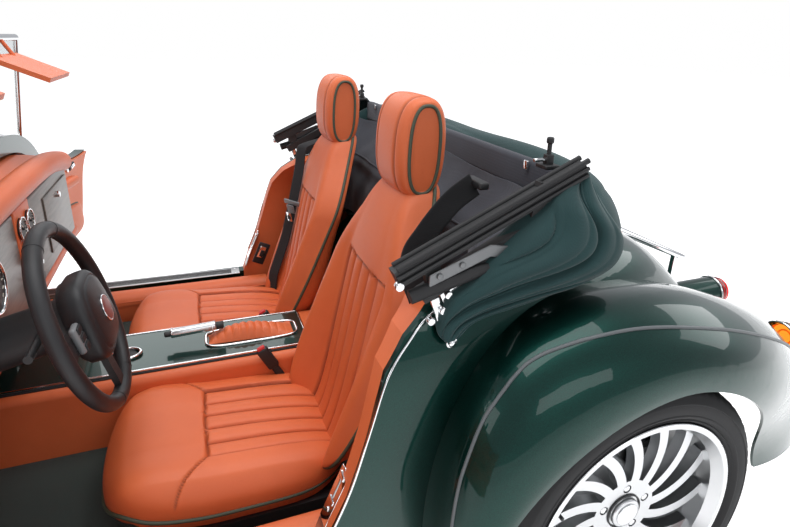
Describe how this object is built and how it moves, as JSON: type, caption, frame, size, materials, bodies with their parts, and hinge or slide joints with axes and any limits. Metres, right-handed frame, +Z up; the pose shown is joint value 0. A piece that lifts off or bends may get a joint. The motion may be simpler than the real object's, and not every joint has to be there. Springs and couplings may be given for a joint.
{
  "type": "open two-seat roadster",
  "caption": "Open two-seat road car with separate wings, quilted leather seats, a folded cloth hood, opening doors and bonnet halves, and steered front wheels.",
  "frame": {"origin": "on the ground, under the middle of the overall length and width", "axes": "+X towards the nose, +Y to the left, +Z up"},
  "size_m": [3.95, 3.0478, 1.219],
  "materials": {
    "alloy": "silver lacquer",
    "black_leather": "smooth",
    "body_paint": "deep metallic gloss",
    "carpet": "cut pile",
    "chrome": "polished",
    "engine": "rough",
    "frame_black": "satin",
    "glass": "clear",
    "hood_fabric": "woven",
    "leather": "smooth",
    "lens_amber": "moulded",
    "lens_clear": "moulded",
    "lens_red": "moulded",
    "plastic": "grained",
    "steel": "satin",
    "tyre": "matt"
  },
  "bodies": {
    "body": {"body_trim": "leather", "chassis_frame": "frame_black", "console_panel": "body_paint", "dashboard": "leather", "engine_bay_sides": "body_paint", "engine_block": "engine", "exhausts": "steel", "floor_pan": "carpet", "front_suspension": "frame_black", "front_wings": "body_paint", "grille": "chrome", "handbrake": "chrome", "head_restraints": "leather", "headlamp_lenses": "lens_clear", "headlamps": "body_paint", "hood_folded": "hood_fabric", "hood_frame": "frame_black", "luggage_rack": "chrome", "radiator_cowl": "body_paint", "rear_axle": "frame_black", "rear_body": "body_paint", "rear_wings": "body_paint", "scuttle": "body_paint", "seat_backs": "leather", "seat_bases": "plastic", "seat_cushions": "leather", "sills": "body_paint", "steering_column": "plastic", "sun_visors": "leather", "tail_indicators": "lens_amber", "tail_lamp_housings": "body_paint", "tail_lamps": "lens_red", "tunnel": "leather", "windscreen_frame": "chrome", "windscreen_glass": "glass"},
    "door_left": {"door_left": "body_paint", "door_trim_left": "leather", "door_mirror_left": "body_paint"},
    "door_right": {"door_right": "body_paint", "door_trim_right": "leather", "door_mirror_right": "body_paint"},
    "bonnet_left": {"bonnet_left": "body_paint"},
    "bonnet_right": {"bonnet_right": "body_paint"},
    "steering_wheel": {"steering_wheel": "black_leather"},
    "knuckle_left": {"knuckle_left": "engine"},
    "knuckle_right": {"knuckle_right": "engine"},
    "wheel_front_left": {"rim_front_left": "alloy", "tyre_front_left": "tyre"},
    "wheel_front_right": {"rim_front_right": "alloy", "tyre_front_right": "tyre"},
    "wheel_rear_left": {"rim_rear_left": "alloy", "tyre_rear_left": "tyre"},
    "wheel_rear_right": {"rim_rear_right": "alloy", "tyre_rear_right": "tyre"}
  },
  "joints": [
    {"name": "door_left_hinge", "type": "hinge", "parent": "body", "child": "door_left", "pos_m": [0.154, 0.64466, 0.6], "axis": [0, 0, 1], "range_deg": [0, 80]},
    {"name": "door_right_hinge", "type": "hinge", "parent": "body", "child": "door_right", "pos_m": [0.154, -0.64466, 0.6], "axis": [0, 0, -1], "range_deg": [0, 80]},
    {"name": "bonnet_left_hinge", "type": "hinge", "parent": "body", "child": "bonnet_left", "pos_m": [0.48, 0.02, 0.97726], "axis": [0.9955, 0, -0.0942], "range_deg": [0, 60]},
    {"name": "bonnet_right_hinge", "type": "hinge", "parent": "body", "child": "bonnet_right", "pos_m": [0.48, -0.02, 0.97726], "axis": [-0.9955, 0, 0.0942], "range_deg": [0, 60]},
    {"name": "steer_left", "type": "hinge", "parent": "body", "child": "knuckle_left", "pos_m": [1.29, 0.59, 0.318], "axis": [0, 0, 1], "range_deg": [-30, 30]},
    {"name": "steer_right", "type": "hinge", "parent": "body", "child": "knuckle_right", "pos_m": [1.29, -0.59, 0.318], "axis": [0, 0, 1], "range_deg": [-30, 30]},
    {"name": "steering_wheel_turn", "type": "hinge", "parent": "body", "child": "steering_wheel", "pos_m": [-0.256, 0.35, 0.727], "axis": [-0.9659, 0, 0.2588], "range_deg": [-450, 450]},
    {"name": "wheel_front_left_spin", "type": "hinge", "parent": "knuckle_left", "child": "wheel_front_left", "pos_m": [1.29, 0.7, 0.318], "axis": [0, 1, 0], "continuous": true},
    {"name": "wheel_rear_left_spin", "type": "hinge", "parent": "body", "child": "wheel_rear_left", "pos_m": [-1.24, 0.7, 0.318], "axis": [0, 1, 0], "continuous": true},
    {"name": "wheel_front_right_spin", "type": "hinge", "parent": "knuckle_right", "child": "wheel_front_right", "pos_m": [1.29, -0.7, 0.318], "axis": [0, 1, 0], "continuous": true},
    {"name": "wheel_rear_right_spin", "type": "hinge", "parent": "body", "child": "wheel_rear_right", "pos_m": [-1.24, -0.7, 0.318], "axis": [0, 1, 0], "continuous": true}
  ],
  "couplings": [
    {"joint": "steer_right", "follows": "steer_left", "ratio": 1},
    {"joint": "steering_wheel_turn", "follows": "steer_left", "ratio": 15}
  ]
}
